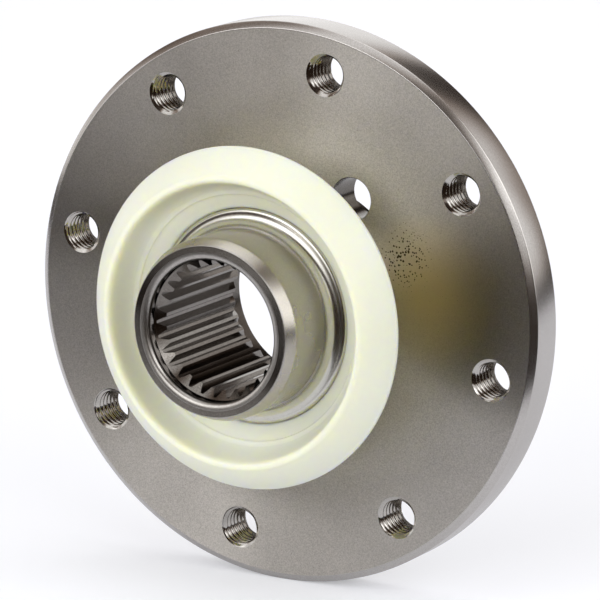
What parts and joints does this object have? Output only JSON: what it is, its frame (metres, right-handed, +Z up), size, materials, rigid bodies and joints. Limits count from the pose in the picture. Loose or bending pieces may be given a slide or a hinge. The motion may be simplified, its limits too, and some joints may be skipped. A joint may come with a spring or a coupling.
{
  "type": "pinion companion flange",
  "caption": "Round flange on a splined hub that bolts a driveshaft to an axle pinion, with a nylon dust deflector and a polished steel ring.",
  "frame": {"origin": "on the pinion axis, in the face that the driveshaft sits on", "axes": "+Y along the pinion axis from the hub towards the driveshaft, so the hub points to -Y; +Z up as the part stands on its rim in the picture"},
  "size_m": [0.15, 0.053, 0.15],
  "materials": {
    "machined_steel": "satin, turned",
    "nylon": "satin",
    "polished_steel": "polished"
  },
  "bodies": {
    "root": {"companion_flange": "machined_steel", "dust_deflector": "nylon", "retaining_ring": "polished_steel"}
  },
  "joints": []
}
